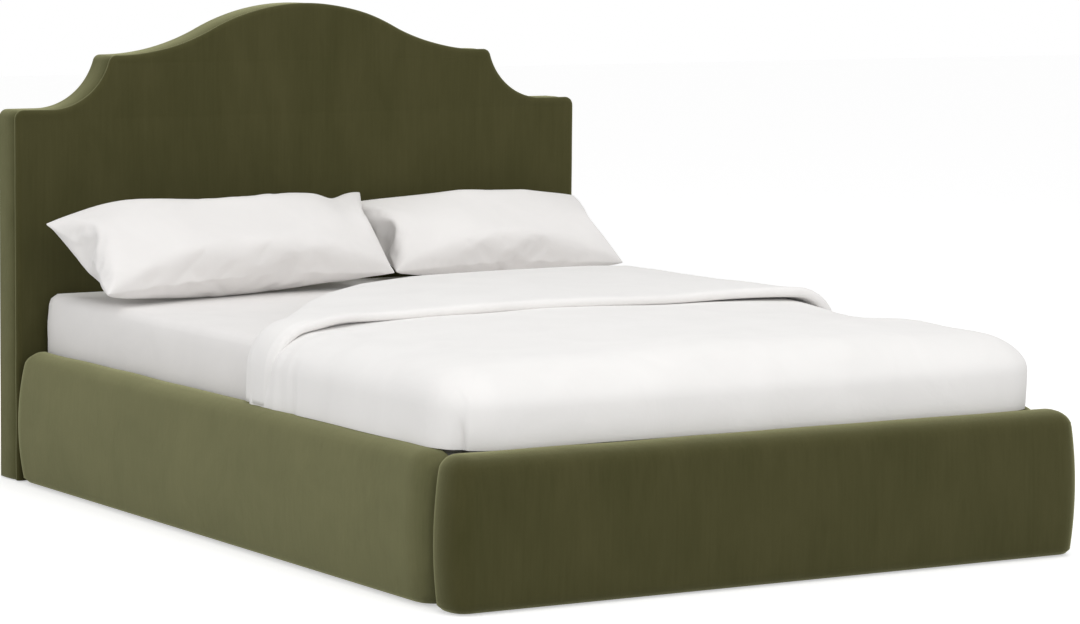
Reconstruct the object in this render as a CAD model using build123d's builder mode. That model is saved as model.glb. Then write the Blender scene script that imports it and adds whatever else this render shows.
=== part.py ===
from build123d import *
import os
from math import sqrt

# Upholstered headboard bed with mattress, duvet and pillows. Millimetres, +Z up, headboard at +Y,
# the glides' undersides at Z 0 and the middle of the footprint at the origin.

# ---- overall
half_width = 836                 # headboard
rail_half = 850                  # side rails and foot rail, over their fullest part
head_back_y = 1166
foot_front_y = -1166
base_z = 10                      # underside of every upholstered piece, on its glides
skin = 2                         # velvet with its backing

# ---- headboard
head_front_y = 1052
head_cover_y = 1068              # front cover's return ends, boxing begins
head_panel_y = 1087              # front of the plywood panel
head_frame_y = 1102              # back of the panel, front of the frame
head_cloth_y = 1164              # back of the frame
peak_z, notch_z, shoulder_z = 1220, 1090, 954
hump_half = 545                  # half the width of the raised centre
cove_x, cove_r = 736, 174        # concave corner between centre and shoulder
notch_r, shoulder_r = 15, 18
head_edge_r = 14
frame_inset = 10                 # wooden frame behind the finished outline
frame_width = 80
stile_inner_x = 710

# ---- side rails
rail_inner_x = 770
rail_board_x = 772
rail_board_t = 25
rail_foot_y, rail_head_y = -1059, 1049
rail_top_z = 338
rail_board_top_z = 312
rail_end_r, rail_top_r = 40, 30
rail_end_pad = 10                # foam and cover closing over the board's ends
cover_turn_z = 290               # lower edge of the cover turned over to the inside

# ---- foot rail
foot_inner_y = -1061
foot_board_y = -1063             # inner face of the inner board
foot_board_t = 22
foot_panel_t = 12
foot_core_front_y = -1137
core_half_x = 797
foot_end_r, foot_top_r = 46, 30
batten_h = 30
block_w = 40

# ---- joinery
steel_t = 3
bracket_leg = 60
bracket_z0, bracket_z1 = 40, 155
bolt_x = 738
bolt_zs = (65, 130)
bolt_r, bolt_hole_r = 4, 4.5
bolt_head_r, bolt_head_h = 7, 5
head_bolt_len, foot_bolt_len = 108, 32
nut_flange_r, nut_flange_t = 10, 1.5
nut_barrel_r, nut_barrel_h = 5, 12
screw_r, screw_hole_r, screw_head_r, screw_head_h = 2.5, 2.55, 5, 3
block_z0, block_z1 = 30, 165
block_x0, block_x1 = 708, 768
centre_block = (-60, 60, 120, 225)  # x and z faces of the block behind the beam hanger

# ---- mattress support
ledger_w, ledger_h = 30, 45
ledger_y0, ledger_y1 = -1045, 1035
slat_z, slat_t, slat_w, slat_half = 210, 20, 90, 765
slat_count, slat_pitch, slat_first_y = 14, 150, -990
strap_w, strap_t, strap_x = 25, 1.5, 500
beam_half, beam_h = 20, 70
hanger_t, hanger_depth, hanger_half = 2.5, 45, 45
hanger_drop = 4                  # plate and cheeks stay below the slats
cheek_x = beam_half + 0.2
leg_half, leg_ys = 25, (-620, 0, 620)
glide_r = 14

# ---- mattress
mat_half, mat_foot_y, mat_head_y = 760, -996, 1034
mat_z0, mat_core_z, mat_z1 = 230.4, 415, 485
mat_corner_r, mat_top_r = 45, 32
sheet_t, ticking_t = 1, 2

# ---- duvet and pillows
duvet_half, duvet_foot_y = 805, -1100
duvet_head = ((-805, -150), (-650, -60), (-420, 220), (-160, 430), (200, 550), (805, 600))  # folded end
duvet_z0, duvet_z1, turn_z1 = 342, 516, 548
turn_half, turn_free_y = 785, -215
duvet_corner_r, duvet_top_r = 90, 60
turn_edge_r = 14
duvet_gap = 1
cover_t = 1.5
pillow_high, pillow_thick = 460, 150
pillow_lean = 24
pillow_y, pillow_z = 836, 605
pillow_span = {"left": (-842, 68), "right": (74, 846)}  # right one's left end tucked behind the left

os.makedirs("parts", exist_ok=True)


def save(block, node):
    """Label the finished piece and write its file."""
    block.part.label = node
    export_step(block.part, f"parts/{node}.step")


def slab(x0, x1, y0, y1, z0, z1, mode=Mode.ADD):
    """Rectangular block between six faces."""
    with BuildSketch(Plane.XY.offset(z0)) as face:
        with Locations(((x0 + x1) / 2, (y0 + y1) / 2)):
            Rectangle(x1 - x0, y1 - y0)
    extrude(face.sketch, amount=z1 - z0, mode=mode)


def rod_y(x, z, y0, y1, r, mode=Mode.ADD):
    """Round bar or hole along Y."""
    with BuildSketch(Plane.XZ.offset(-y0)) as face:
        with Locations((x, z)):
            Circle(r)
    extrude(face.sketch, amount=y0 - y1, mode=mode)


def rod_x(y, z, x0, x1, r, mode=Mode.ADD):
    """Round bar or hole along X."""
    with BuildSketch(Plane.YZ.offset(x0)) as face:
        with Locations((y, z)):
            Circle(r)
    extrude(face.sketch, amount=x1 - x0, mode=mode)


# ================================================================ headboard

cove_z = shoulder_z + cove_r
notch_x = cove_x - sqrt(cove_r**2 - (cove_z - notch_z) ** 2)


def headboard_block(inset, y0, y1, edge_r=0):
    """Slice of the headboard between two Y faces, inset evenly from its finished outline."""
    with BuildSketch() as shape:
        with BuildLine():
            middle = (peak_z + notch_z) / 2
            TangentArc((-hump_half, notch_z), (-hump_half / 2, middle), tangent=(1, 0))
            ThreePointArc((-hump_half / 2, middle), (0, peak_z), (hump_half / 2, middle))
            TangentArc((hump_half, notch_z), (hump_half / 2, middle), tangent=(-1, 0))
            Line((hump_half, notch_z), (notch_x, notch_z))
            TangentArc((cove_x, shoulder_z), (notch_x, notch_z), tangent=(-1, 0))
            Line((cove_x, shoulder_z), (half_width, shoulder_z))
            Line((half_width, shoulder_z), (half_width, base_z))
            Line((half_width, base_z), (-half_width, base_z))
            Line((-half_width, base_z), (-half_width, shoulder_z))
            Line((-half_width, shoulder_z), (-cove_x, shoulder_z))
            TangentArc((-cove_x, shoulder_z), (-notch_x, notch_z), tangent=(1, 0))
            Line((-notch_x, notch_z), (-hump_half, notch_z))
        make_face()
        corners = shape.vertices()
        fillet([v for v in corners if abs(abs(v.X) - notch_x) < 0.01], notch_r)
        corners = shape.vertices().filter_by_position(Axis.Y, shoulder_z - 1, shoulder_z + 1)
        fillet([v for v in corners if abs(abs(v.X) - half_width) < 0.01], shoulder_r)
        if inset:
            offset(amount=-inset, kind=Kind.INTERSECTION, mode=Mode.REPLACE)
    with BuildPart() as block:
        with BuildSketch(Plane.XZ.offset(-y0)):
            add(shape.sketch)
        extrude(amount=-(y1 - y0))
        if edge_r:
            rim = block.faces().sort_by(Axis.Y)[0].edges().sort_by(Axis.Z)[1:]
            fillet(rim, edge_r)
    return block.part


head_outer = headboard_block(0, head_front_y, head_cover_y, head_edge_r)
head_inner = headboard_block(skin, head_front_y + skin, head_cover_y, head_edge_r - skin)
foam_blank = headboard_block(skin, head_front_y + skin, head_panel_y, head_edge_r - skin)
ring_outer = headboard_block(0, head_cover_y, head_cloth_y)
ring_inner = headboard_block(skin, head_cover_y, head_cloth_y)
wrap_outer = headboard_block(skin, head_panel_y, head_cloth_y)
wrap_inner = headboard_block(frame_inset, head_panel_y, head_cloth_y)
panel_blank = headboard_block(frame_inset, head_panel_y, head_frame_y)
frame_blank = headboard_block(frame_inset, head_frame_y, head_cloth_y)
frame_hollow = headboard_block(frame_inset + frame_width, head_frame_y, head_cloth_y)
cloth_blank = headboard_block(0, head_cloth_y, head_back_y)

hanger_screw_at = [(sx * 35, z) for sx in (-1, 1) for z in (150, 195)]
head_bolt_at = [(sx * bolt_x, z) for sx in (-1, 1) for z in bolt_zs]
block_at = [centre_block]
block_at += [(*sorted((s * block_x0, s * block_x1)), block_z0, block_z1) for s in (-1, 1)]

# velvet front, one piece turned over the edge to meet the boxing
with BuildPart() as headboard_front_cover:
    add(head_outer)
    add(head_inner, mode=Mode.SUBTRACT)
    for x, z in head_bolt_at:
        rod_y(x, z, head_front_y - 1, head_front_y + skin + 1, bolt_hole_r, Mode.SUBTRACT)
    for x, z in hanger_screw_at:
        rod_y(x, z, head_front_y - 1, head_front_y + skin + 1, screw_hole_r, Mode.SUBTRACT)
save(headboard_front_cover, "headboard_front_cover")

# velvet strip sewn round the sides and top
with BuildPart() as headboard_boxing:
    add(ring_outer)
    add(ring_inner, mode=Mode.SUBTRACT)
save(headboard_boxing, "headboard_boxing")

# front padding, cut away round the three hard blocks that the fixings clamp against
with BuildPart() as headboard_front_foam:
    add(foam_blank)
    for x0, x1, z0, z1 in block_at:
        slab(x0, x1, head_front_y + skin, head_panel_y, z0, z1, Mode.SUBTRACT)
save(headboard_front_foam, "headboard_front_foam")

# thin padding round the edge of the frame
with BuildPart() as headboard_edge_foam:
    add(wrap_outer)
    add(wrap_inner, mode=Mode.SUBTRACT)
save(headboard_edge_foam, "headboard_edge_foam")

with BuildPart() as headboard_panel:
    add(panel_blank)
    for x, z in head_bolt_at:
        rod_y(x, z, head_panel_y - 1, head_frame_y + 1, bolt_hole_r, Mode.SUBTRACT)
save(headboard_panel, "headboard_panel")

# hard spacer blocks in the foam
with BuildPart() as headboard_fixing_blocks:
    for x0, x1, z0, z1 in block_at:
        slab(x0, x1, head_front_y + skin, head_panel_y, z0, z1)
    for x, z in head_bolt_at:
        rod_y(x, z, head_front_y, head_panel_y + 1, bolt_hole_r, Mode.SUBTRACT)
    for x, z in hanger_screw_at:
        rod_y(x, z, head_front_y, head_front_y + 29, screw_hole_r, Mode.SUBTRACT)
save(headboard_fixing_blocks, "headboard_fixing_blocks")

for side, s in (("left", -1), ("right", 1)):
    with BuildPart() as stile:
        slab(*sorted((s * stile_inner_x, s * half_width)), head_frame_y, head_cloth_y, base_z, shoulder_z)
        add(frame_blank, mode=Mode.INTERSECT)
        for z in bolt_zs:
            rod_y(s * bolt_x, z, head_frame_y - 1, head_cloth_y + 1, bolt_hole_r, Mode.SUBTRACT)
            rod_y(s * bolt_x, z, head_cloth_y - nut_flange_t - nut_barrel_h, head_cloth_y + 1,
                  nut_barrel_r, Mode.SUBTRACT)
            rod_y(s * bolt_x, z, head_cloth_y - nut_flange_t, head_cloth_y + 1, nut_flange_r, Mode.SUBTRACT)
    save(stile, f"headboard_stile_{side}")

with BuildPart() as headboard_top_rail:
    add(frame_blank)
    add(frame_hollow, mode=Mode.SUBTRACT)
    slab(-stile_inner_x, stile_inner_x, head_frame_y, head_cloth_y, shoulder_z - 110, peak_z, Mode.INTERSECT)
save(headboard_top_rail, "headboard_top_rail")

with BuildPart() as headboard_middle_rail:
    slab(-stile_inner_x, stile_inner_x, head_frame_y, head_cloth_y, 480, 550)
save(headboard_middle_rail, "headboard_middle_rail")

with BuildPart() as headboard_bottom_rail:
    slab(-stile_inner_x, stile_inner_x, head_frame_y, head_cloth_y, base_z + frame_inset, 90)
save(headboard_bottom_rail, "headboard_bottom_rail")

with BuildPart() as headboard_centre_stile:
    slab(-35, 35, head_frame_y, head_cloth_y, 550, 1160)
    add(headboard_top_rail.part, mode=Mode.SUBTRACT)
save(headboard_centre_stile, "headboard_centre_stile")

# woven lining tacked over the open back
with BuildPart() as headboard_back_cloth:
    add(cloth_blank)
save(headboard_back_cloth, "headboard_back_cloth")


# ================================================================ side rails

def side_rail_form(s, inset):
    """Rounded envelope of the padded side rail, inset evenly from its finished faces."""
    with BuildPart() as form:
        slab(*sorted((s * (rail_inner_x + inset), s * (rail_half - inset))),
             rail_foot_y + inset, rail_head_y - inset, base_z, rail_top_z - inset)
        outer_x = s * (rail_half - inset)
        posts = form.edges().filter_by(Axis.Z).filter_by_position(Axis.X, outer_x - 1, outer_x + 1)
        fillet(posts, rail_end_r - inset)
        inner_x = s * (rail_inner_x + inset)
        top = form.faces().sort_by(Axis.Z)[-1].edges()
        top = [e for e in top if abs(e.center().X - inner_x) > 1]
        fillet(top, rail_top_r - inset)
    return form.part


ledger_screw_ys = (-950, -640, -320, 0, 320, 640, 950)
bracket_screw_at = ((46, 65), (46, 130), (22, 97))
rail_bracket_screws = [(rail_head_y - d, z) for d, z in bracket_screw_at]
rail_bracket_screws += [(foot_board_y + steel_t + d, z) for d, z in bracket_screw_at]

for side, s in (("left", -1), ("right", 1)):
    rail_outer = side_rail_form(s, 0)
    rail_inner = side_rail_form(s, skin)

    with BuildPart() as rail_board:
        slab(*sorted((s * rail_board_x, s * (rail_board_x + rail_board_t))),
             rail_foot_y + rail_end_pad, rail_head_y - rail_end_pad, base_z, rail_board_top_z)
    solid_board = rail_board.part

    # velvet over the outer face, ends and top, turned in and stapled on the inside
    with BuildPart() as rail_cover:
        add(rail_outer)
        add(rail_inner, mode=Mode.SUBTRACT)
        add(solid_board, mode=Mode.SUBTRACT)
        slab(*sorted((s * (rail_inner_x - 1), s * rail_board_x)), rail_foot_y - 1, rail_head_y + 1,
             base_z, cover_turn_z, Mode.SUBTRACT)
    save(rail_cover, f"side_rail_cover_{side}")

    with BuildPart() as rail_foam:
        add(rail_inner)
        add(solid_board, mode=Mode.SUBTRACT)
    save(rail_foam, f"side_rail_foam_{side}")

    ends = sorted((s * (rail_board_x - 1), s * (rail_board_x + 23)))
    with BuildPart() as rail_core:
        add(solid_board)
        for y, z in rail_bracket_screws:
            rod_x(y, z, *ends, screw_hole_r, Mode.SUBTRACT)
        for y in ledger_screw_ys:
            rod_x(y, slat_z - ledger_h / 2, *ends, screw_hole_r, Mode.SUBTRACT)
    save(rail_core, f"side_rail_board_{side}")

    # batten that carries the slat ends, its screw heads sunk
    ledger_in = rail_board_x - ledger_w
    with BuildPart() as ledger:
        slab(*sorted((s * ledger_in, s * rail_board_x)), ledger_y0, ledger_y1, slat_z - ledger_h, slat_z)
        for y in ledger_screw_ys:
            rod_x(y, slat_z - ledger_h / 2, *sorted((s * ledger_in, s * rail_board_x)),
                  screw_hole_r, Mode.SUBTRACT)
            rod_x(y, slat_z - ledger_h / 2, *sorted((s * ledger_in, s * (ledger_in + screw_head_h))),
                  screw_head_r + 0.2, Mode.SUBTRACT)
    save(ledger, f"side_ledger_{side}")

with BuildPart() as ledger_screws:
    for s in (-1, 1):
        ledger_in = rail_board_x - ledger_w
        for y in ledger_screw_ys:
            z = slat_z - ledger_h / 2
            rod_x(y, z, *sorted((s * ledger_in, s * (ledger_in + 50))), screw_r)
            rod_x(y, z, *sorted((s * ledger_in, s * (ledger_in + screw_head_h))), screw_head_r)
save(ledger_screws, "ledger_screws")


# ================================================================ foot rail

def foot_rail_form(inset):
    """Rounded envelope of the padded foot rail, inset evenly from its finished faces."""
    with BuildPart() as form:
        slab(-rail_half + inset, rail_half - inset, foot_front_y + inset, foot_inner_y - inset,
             base_z, rail_top_z - inset)
        posts = form.edges().filter_by(Axis.Z)
        fillet(posts.sort_by(Axis.Y)[:2], foot_end_r - inset)
        top = form.faces().sort_by(Axis.Z)[-1].edges()
        top = [e for e in top if abs(e.center().Y - (foot_inner_y - inset)) > 1]
        fillet(top, foot_top_r - inset)
    return form.part


foot_outer = foot_rail_form(0)
foot_soft = foot_rail_form(skin)
foot_inner_back = foot_board_y - foot_board_t
foot_panel_back = foot_core_front_y + foot_panel_t

with BuildPart() as foot_rail_cover:
    add(foot_outer)
    add(foot_soft, mode=Mode.SUBTRACT)
    slab(-core_half_x, core_half_x, foot_board_y, foot_inner_y + 1, base_z, cover_turn_z, Mode.SUBTRACT)
save(foot_rail_cover, "foot_rail_cover")

with BuildPart() as foot_rail_foam:
    add(foot_soft)
    slab(-core_half_x, core_half_x, foot_core_front_y, foot_board_y, base_z, rail_board_top_z, Mode.SUBTRACT)
save(foot_rail_foam, "foot_rail_foam")

with BuildPart() as foot_rail_inner_board:
    slab(-core_half_x, core_half_x, foot_inner_back, foot_board_y, base_z, rail_board_top_z)
    for x, z in head_bolt_at:
        rod_y(x, z, foot_inner_back - 1, foot_board_y + 1, bolt_hole_r, Mode.SUBTRACT)
        rod_y(x, z, foot_inner_back - 1, foot_inner_back + nut_barrel_h, nut_barrel_r, Mode.SUBTRACT)
    for x, z in hanger_screw_at:
        rod_y(x, z, foot_inner_back - 1, foot_board_y + 1, screw_hole_r, Mode.SUBTRACT)
save(foot_rail_inner_board, "foot_rail_inner_board")

with BuildPart() as foot_rail_front_board:
    slab(-core_half_x, core_half_x, foot_core_front_y, foot_panel_back, base_z, rail_board_top_z)
save(foot_rail_front_board, "foot_rail_front_board")

for node, z0 in (("foot_rail_top_batten", rail_board_top_z - batten_h), ("foot_rail_bottom_batten", base_z)):
    with BuildPart() as batten:
        slab(-core_half_x, core_half_x, foot_panel_back, foot_inner_back, z0, z0 + batten_h)
    save(batten, node)

with BuildPart() as foot_rail_blocks:
    for x in (-core_half_x + block_w / 2, -390, 390, core_half_x - block_w / 2):
        slab(x - block_w / 2, x + block_w / 2, foot_panel_back, foot_inner_back,
             base_z + batten_h, rail_board_top_z - batten_h)
save(foot_rail_blocks, "foot_rail_blocks")


# ================================================================ corner joints

for end in ("head", "foot"):
    for side, s in (("left", -1), ("right", 1)):
        if end == "head":
            leg_y = (rail_head_y - bracket_leg, rail_head_y)
            plate_y = (rail_head_y, head_front_y)
            screws = rail_bracket_screws[:3]
        else:
            leg_y = (foot_board_y + steel_t, foot_board_y + steel_t + bracket_leg)
            plate_y = (foot_board_y, foot_board_y + steel_t)
            screws = rail_bracket_screws[3:]
        with BuildPart() as bracket:
            slab(*sorted((s * (rail_board_x - steel_t), s * rail_board_x)), *leg_y, bracket_z0, bracket_z1)
            slab(*sorted((s * (rail_board_x - steel_t - bracket_leg), s * rail_board_x)), *plate_y,
                 bracket_z0, bracket_z1)
            for y, z in screws:
                rod_x(y, z, *sorted((s * (rail_board_x - steel_t - 1), s * (rail_board_x + 1))),
                      screw_hole_r, Mode.SUBTRACT)
            for z in bolt_zs:
                rod_y(s * bolt_x, z, plate_y[0] - 1, plate_y[1] + 1, bolt_hole_r, Mode.SUBTRACT)
        save(bracket, f"corner_bracket_{end}_{side}")

with BuildPart() as bracket_bolts:
    for x, z in head_bolt_at:
        rod_y(x, z, rail_head_y, rail_head_y + head_bolt_len, bolt_r)
        rod_y(x, z, rail_head_y - bolt_head_h, rail_head_y, bolt_head_r)
        rod_y(x, z, foot_board_y + steel_t - foot_bolt_len, foot_board_y + steel_t, bolt_r)
        rod_y(x, z, foot_board_y + steel_t, foot_board_y + steel_t + bolt_head_h, bolt_head_r)
save(bracket_bolts, "bracket_bolts")

with BuildPart() as tee_nuts:
    for x, z in head_bolt_at:
        rod_y(x, z, head_cloth_y - nut_flange_t, head_cloth_y, nut_flange_r)
        rod_y(x, z, head_cloth_y - nut_flange_t - nut_barrel_h, head_cloth_y - nut_flange_t, nut_barrel_r)
        rod_y(x, z, foot_inner_back - nut_flange_t, foot_inner_back, nut_flange_r)
        rod_y(x, z, foot_inner_back, foot_inner_back + nut_barrel_h, nut_barrel_r)
    for x, z in head_bolt_at:
        rod_y(x, z, head_panel_y, head_back_y, bolt_r + 0.05, Mode.SUBTRACT)
        rod_y(x, z, foot_inner_back - 5, foot_board_y, bolt_r + 0.05, Mode.SUBTRACT)
save(tee_nuts, "tee_nuts")

with BuildPart() as bracket_screws:
    for s in (-1, 1):
        face = rail_board_x - steel_t
        for y, z in rail_bracket_screws:
            rod_x(y, z, *sorted((s * face, s * (face + 24))), screw_r)
            rod_x(y, z, *sorted((s * (face - screw_head_h), s * face)), screw_head_r)
save(bracket_screws, "bracket_screws")


# ================================================================ centre support

beam_z0 = slat_z - beam_h
beam_y0, beam_y1 = foot_board_y + hanger_t, head_front_y - hanger_t
leg_screw_r = 4

with BuildPart() as centre_beam:
    slab(-beam_half, beam_half, beam_y0, beam_y1, beam_z0, slat_z)
    for y in leg_ys:
        with BuildSketch(Plane.XY.offset(beam_z0)):
            with Locations((0, y)):
                Circle(leg_screw_r)
        extrude(amount=30, mode=Mode.SUBTRACT)
save(centre_beam, "centre_beam")

for end, wall, out in (("head", head_front_y, -1), ("foot", foot_board_y, 1)):
    with BuildPart() as hanger:
        slab(-hanger_half, hanger_half, *sorted((wall, wall + out * hanger_t)),
             beam_z0 - hanger_t, slat_z - hanger_drop)
        for s in (-1, 1):
            slab(*sorted((s * cheek_x, s * (cheek_x + hanger_t))),
                 *sorted((wall, wall + out * hanger_depth)), beam_z0 - hanger_t, slat_z - 2 * hanger_drop)
        slab(-cheek_x, cheek_x, *sorted((wall, wall + out * hanger_depth)),
             beam_z0 - hanger_t, beam_z0)
        for x, z in hanger_screw_at:
            rod_y(x, z, *sorted((wall - out, wall + out * (hanger_t + 1))), screw_hole_r, Mode.SUBTRACT)
    save(hanger, f"beam_hanger_{end}")

with BuildPart() as hanger_screws:
    for wall, out, depth in ((head_front_y, -1, 28), (foot_board_y, 1, 20)):
        face = wall + out * hanger_t
        for x, z in hanger_screw_at:
            rod_y(x, z, *sorted((face, wall - out * depth)), screw_r)
            rod_y(x, z, *sorted((face, face + out * screw_head_h)), screw_head_r)
save(hanger_screws, "hanger_screws")

for node, y in zip(("foot", "middle", "head"), leg_ys):
    with BuildPart() as leg:
        slab(-leg_half, leg_half, y - leg_half, y + leg_half, base_z, beam_z0)
        with BuildSketch(Plane.XY.offset(beam_z0 - 30)):
            with Locations((0, y)):
                Circle(leg_screw_r)
        extrude(amount=30, mode=Mode.SUBTRACT)
    save(leg, f"support_leg_{node}")

with BuildPart() as leg_dowel_screws:
    with BuildSketch(Plane.XY.offset(beam_z0 - 30)):
        with Locations(*[(0, y) for y in leg_ys]):
            Circle(leg_screw_r - 0.05)
    extrude(amount=60)
save(leg_dowel_screws, "leg_dowel_screws")

# nail-on plastic glides under headboard, rails, foot rail and legs
glide_at = [(s * x, 1133) for s in (-1, 1) for x in (250, 780)]
glide_at += [(s * 784, y) for s in (-1, 1) for y in (-700, 0, 700)]
glide_at += [(x, (foot_inner_back + foot_panel_back) / 2) for x in (-740, -250, 250, 740)]
glide_at += [(0, y) for y in leg_ys]
with BuildPart() as glides:
    with BuildSketch():
        with Locations(*glide_at):
            Circle(glide_r)
    extrude(amount=base_z)
    fillet(glides.faces().sort_by(Axis.Z)[:len(glide_at)].edges(), 2)
save(glides, "glides")


# ================================================================ slatted base

with BuildPart() as slats:
    for i in range(slat_count):
        y = slat_first_y + i * slat_pitch
        slab(-slat_half, slat_half, y - slat_w / 2, y + slat_w / 2, slat_z, slat_z + slat_t)
save(slats, "slats")

with BuildPart() as slat_straps:
    for s in (-1, 1):
        slab(s * strap_x - strap_w / 2, s * strap_x + strap_w / 2, slat_first_y - slat_w / 2,
             slat_first_y + (slat_count - 1) * slat_pitch + slat_w / 2, slat_z - strap_t, slat_z)
save(slat_straps, "slat_straps")


# ================================================================ mattress

def mattress_form(inset, z0, z1, top_r=0.0):
    """Mattress envelope inset from its sides, between two heights."""
    with BuildPart() as form:
        slab(-mat_half + inset, mat_half - inset, mat_foot_y + inset, mat_head_y - inset, z0, z1)
        fillet(form.edges().filter_by(Axis.Z), mat_corner_r - inset)
        if top_r:
            fillet(form.faces().sort_by(Axis.Z)[-1].edges(), top_r)
    return form.part


inset_core = sheet_t + ticking_t
sheet_outer = mattress_form(0, mat_z0, mat_z1, mat_top_r)
tick_outer = mattress_form(sheet_t, mat_z0, mat_z1 - sheet_t, mat_top_r - sheet_t)
tick_inner = mattress_form(inset_core, mat_z0, mat_z1 - inset_core, mat_top_r - inset_core)
base_blank = mattress_form(inset_core, mat_z0, mat_z0 + ticking_t)
core_blank = mattress_form(inset_core, mat_z0 + ticking_t, mat_core_z)
comfort_blank = mattress_form(inset_core, mat_core_z, mat_z1 - inset_core, mat_top_r - inset_core)

with BuildPart() as fitted_sheet:
    add(sheet_outer)
    add(tick_outer, mode=Mode.SUBTRACT)
save(fitted_sheet, "fitted_sheet")

with BuildPart() as mattress_ticking:
    add(tick_outer)
    add(tick_inner, mode=Mode.SUBTRACT)
save(mattress_ticking, "mattress_ticking")

for node, blank in (("mattress_base_cloth", base_blank), ("mattress_support_core", core_blank),
                    ("mattress_comfort_layer", comfort_blank)):
    with BuildPart() as layer:
        add(blank)
    save(layer, node)


# ================================================================ duvet

def duvet_block(half, foot_y, z0, z1, inset):
    """Slab of duvet from its foot end to the folded head end, which runs askew across the bed."""
    head = [(max(-half, min(half, x)), y) for x, y in duvet_head]
    with BuildPart() as block:
        with BuildSketch(Plane.XY.offset(z0)) as plan:
            with BuildLine():
                Polyline(*head, (half, foot_y), (-half, foot_y), close=True)
            make_face()
            if inset:
                offset(amount=-inset, kind=Kind.INTERSECTION, mode=Mode.REPLACE)
        extrude(plan.sketch, amount=z1 - z0)
    return block.part


def duvet_form(inset):
    """Duvet draped over the mattress with its head end turned back, inset evenly all over."""
    side = duvet_half - inset
    with BuildPart() as form:
        add(duvet_block(duvet_half, duvet_foot_y, duvet_z0 + inset, duvet_z1 - inset, inset))
        fillet(form.edges().filter_by(Axis.Z).sort_by(Axis.Y)[:2], duvet_corner_r - inset)
        top = form.faces().sort_by(Axis.Z)[-1].edges()
        low_y = duvet_foot_y + duvet_corner_r
        hanging = [e for e in top if all(abs(v.X) > side - 1 or v.Y < low_y + 1 for v in e.vertices())]
        fillet(hanging, duvet_top_r - inset)
    with BuildPart() as band:
        add(duvet_block(turn_half, turn_free_y, mat_z1 + duvet_gap + inset, turn_z1 - inset, inset))
        fillet(band.faces().sort_by(Axis.Z)[-1].edges(), turn_edge_r - inset)
    with BuildPart() as whole:
        add(form.part)
        add(band.part)
        slab(-mat_half - duvet_gap - inset, mat_half + duvet_gap + inset,
             mat_foot_y - duvet_gap - inset, mat_head_y,
             duvet_z0 - 1, mat_z1 + duvet_gap + inset, Mode.SUBTRACT)
    return whole.part


duvet_outer = duvet_form(0)
duvet_inner = duvet_form(cover_t)

with BuildPart() as duvet_cover:
    add(duvet_outer)
    add(duvet_inner, mode=Mode.SUBTRACT)
save(duvet_cover, "duvet_cover")

with BuildPart() as duvet_fill:
    add(duvet_inner)
save(duvet_fill, "duvet_fill")


# ================================================================ pillows

def pillow_form(side, inset):
    """Lens-shaped pillow leaning on the headboard, inset evenly from its case."""
    x0, x1 = pillow_span[side]
    half = (x1 - x0) / 2 - inset
    with BuildPart() as form:
        for share, high, thick in ((-1, 0.84, 0.13), (-0.86, 0.95, 0.62), (-0.45, 1, 0.96), (0.45, 1, 0.96),
                                   (0.86, 0.95, 0.62), (1, 0.84, 0.13)):
            with BuildSketch(Plane.YZ.offset(share * half)):
                Ellipse(pillow_high * high / 2 - inset, pillow_thick * thick / 2 - inset)
        loft()
    return Location(((x0 + x1) / 2, pillow_y, pillow_z), (pillow_lean, 0, 0)) * form.part


for side in ("left", "right"):
    case_outer = pillow_form(side, 0)
    fill_body = pillow_form(side, cover_t)
    with BuildPart() as case:
        add(case_outer)
        add(fill_body, mode=Mode.SUBTRACT)
    save(case, f"pillow_case_{side}")
    with BuildPart() as fill:
        add(fill_body)
    save(fill, f"pillow_fill_{side}")
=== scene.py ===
import math
import bpy
import bmesh
import numpy as np
from mathutils import Matrix, Vector, noise


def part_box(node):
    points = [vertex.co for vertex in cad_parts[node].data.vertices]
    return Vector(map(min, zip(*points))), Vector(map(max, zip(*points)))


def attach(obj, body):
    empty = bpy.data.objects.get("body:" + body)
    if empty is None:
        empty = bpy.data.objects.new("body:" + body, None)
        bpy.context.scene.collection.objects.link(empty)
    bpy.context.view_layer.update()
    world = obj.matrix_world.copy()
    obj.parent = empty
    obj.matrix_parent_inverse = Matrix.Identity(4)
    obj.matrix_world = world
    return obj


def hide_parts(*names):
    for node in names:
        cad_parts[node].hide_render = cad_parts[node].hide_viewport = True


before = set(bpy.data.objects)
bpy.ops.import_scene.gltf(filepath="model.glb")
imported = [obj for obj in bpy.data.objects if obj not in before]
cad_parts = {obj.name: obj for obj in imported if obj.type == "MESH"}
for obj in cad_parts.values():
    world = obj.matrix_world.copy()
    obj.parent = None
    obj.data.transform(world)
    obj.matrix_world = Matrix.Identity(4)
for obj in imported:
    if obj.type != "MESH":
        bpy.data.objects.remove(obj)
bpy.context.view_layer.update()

# ------------------------------------------------------------------ camera
# The bed is seen from beyond its left foot corner, from a little above the duvet, through a long lens.
bpy.ops.object.camera_add(location=(-5.236, -8.622, 1.579))
camera = bpy.context.object
camera_turn, camera_drop, camera_roll = math.radians(-31.69), math.radians(6.10), math.radians(0.502)
ahead = Vector((-math.sin(camera_turn) * math.cos(camera_drop),
                math.cos(camera_turn) * math.cos(camera_drop), -math.sin(camera_drop)))
level = ahead.to_track_quat("-Z", "Y").to_matrix().to_4x4()
camera.rotation_euler = (level @ Matrix.Rotation(camera_roll, 4, "Z")).to_euler()
camera.data.lens = 137.8
camera.data.sensor_width = 36
camera.data.clip_end = 60
bpy.context.scene.camera = camera

# ------------------------------------------------------------------ velvet
# Olive cotton velvet with a short upright pile: dark seen straight on, pale where it turns away.
# It covers the headboard, the side rails and the foot rail. The side rails and the boxing strip get
# lighter copies of it: painted light, standing for the brighter look those faces have under the lamps.


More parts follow.
